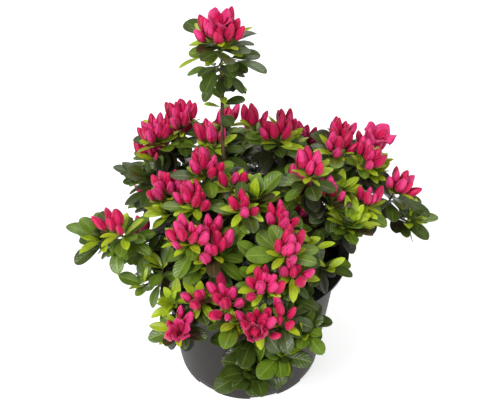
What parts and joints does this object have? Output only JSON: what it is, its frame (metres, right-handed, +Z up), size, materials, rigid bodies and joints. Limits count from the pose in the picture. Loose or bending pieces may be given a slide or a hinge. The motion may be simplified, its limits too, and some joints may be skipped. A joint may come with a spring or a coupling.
{
  "type": "potted azalea shrub",
  "caption": "Low dense evergreen azalea with pink flower buds, a short stem, arching boughs and leafy masses, in its dark round nursery pot with a flat rim",
  "frame": {"origin": "the middle of the pot's flat underside, where the pot stands", "axes": "+Z is up along the pot's axis; -Y faces the picture's camera, which looks along +Y and down; +X is to the right in the picture"},
  "size_m": [0.2804, 0.2643, 0.3396],
  "materials": {
    "pot_plastic": "satin",
    "soil": "matte",
    "bark": "matte",
    "foliage": "satin"
  },
  "bodies": {
    "root": {"pot": "pot_plastic", "soil": "soil", "trunk": "bark", "bough_crown_top": "bark", "bough_high_left": "bark", "bough_upper_left": "bark", "bough_inner_left": "bark", "bough_high_middle": "bark", "bough_inner_middle": "bark", "bough_inner_right": "bark", "bough_high_right": "bark", "bough_right": "bark", "bough_far_right": "bark", "bough_far_left": "bark", "bough_left_edge": "bark", "bough_front_left": "bark", "bough_front_right": "bark", "bough_front_middle": "bark", "bough_front": "bark", "bough_low_left": "bark", "bough_low_front": "bark", "bough_low_right": "bark", "bough_right_edge": "bark", "bough_back_right": "bark", "bough_back_middle": "bark", "bough_back_left": "bark", "bough_low_back_right": "bark", "bough_low_back_left": "bark", "bough_low_back": "bark", "mass_crown_top": "foliage", "mass_high_left": "foliage", "mass_upper_left": "foliage", "mass_inner_left": "foliage", "mass_high_middle": "foliage", "mass_inner_middle": "foliage", "mass_inner_right": "foliage", "mass_high_right": "foliage", "mass_right": "foliage", "mass_far_right": "foliage", "mass_far_left": "foliage", "mass_left_edge": "foliage", "mass_front_left": "foliage", "mass_front_right": "foliage", "mass_front_middle": "foliage", "mass_front": "foliage", "mass_low_left": "foliage", "mass_low_front": "foliage", "mass_low_right": "foliage", "mass_right_edge": "foliage", "mass_back_right": "foliage", "mass_back_middle": "foliage", "mass_back_left": "foliage", "mass_low_back_right": "foliage", "mass_low_back_left": "foliage", "mass_low_back": "foliage"}
  },
  "joints": []
}
